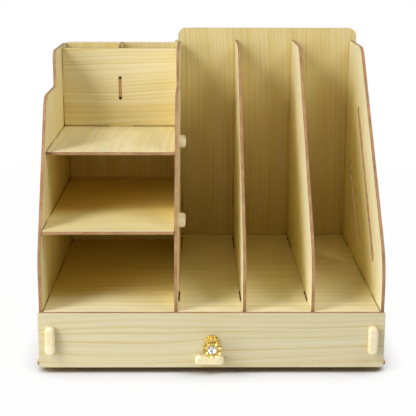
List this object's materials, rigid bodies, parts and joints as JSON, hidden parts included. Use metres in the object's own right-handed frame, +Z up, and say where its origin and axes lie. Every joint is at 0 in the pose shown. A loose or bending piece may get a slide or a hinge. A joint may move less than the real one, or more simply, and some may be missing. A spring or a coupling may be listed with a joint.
{
  "type": "desk organizer with drawer",
  "caption": "Board desk organizer: shelf column under a pen box, upright file slots, and a full-width drawer with a flower knob below.",
  "frame": {"origin": "on the table, under the middle of the whole object", "axes": "+Z up, front with the drawer towards -Y, +X to the viewer's right when looking at the front"},
  "size_m": [0.3402, 0.3068, 0.3105],
  "materials": {
    "board": "pale pine laminate on thin fibreboard, satin",
    "peg_cap": "smooth moulded plastic, soft sheen",
    "knob_gold": "polished gold-coloured plating",
    "knob_stone": "clear faceted stone, polished",
    "screw_steel": "plain zinc-coloured steel"
  },
  "bodies": {
    "case": {"bottom_board": "board", "mid_board": "board", "left_side_panel": "board", "right_side_panel": "board", "column_divider": "board", "file_divider_left": "board", "file_divider_right": "board", "middle_shelf": "board", "top_shelf": "board", "column_back": "board", "pen_box_front": "board", "pen_box_divider": "board", "file_back": "board", "bay_back": "board", "shelf_pegs": "peg_cap", "back_pegs": "peg_cap", "foot_pegs": "peg_cap"},
    "drawer": {"drawer_front": "board", "drawer_left_side": "board", "drawer_right_side": "board", "drawer_back": "board", "drawer_bottom": "board", "drawer_pegs": "peg_cap", "knob_rose": "knob_gold", "knob_stem": "knob_gold", "knob_flower": "knob_gold", "knob_crystal": "knob_stone", "knob_screw": "screw_steel"}
  },
  "joints": [
    {"name": "drawer_slide", "type": "slide", "parent": "case", "child": "drawer", "axis": [0, -1, 0], "range_m": [0, 0.18]}
  ]
}
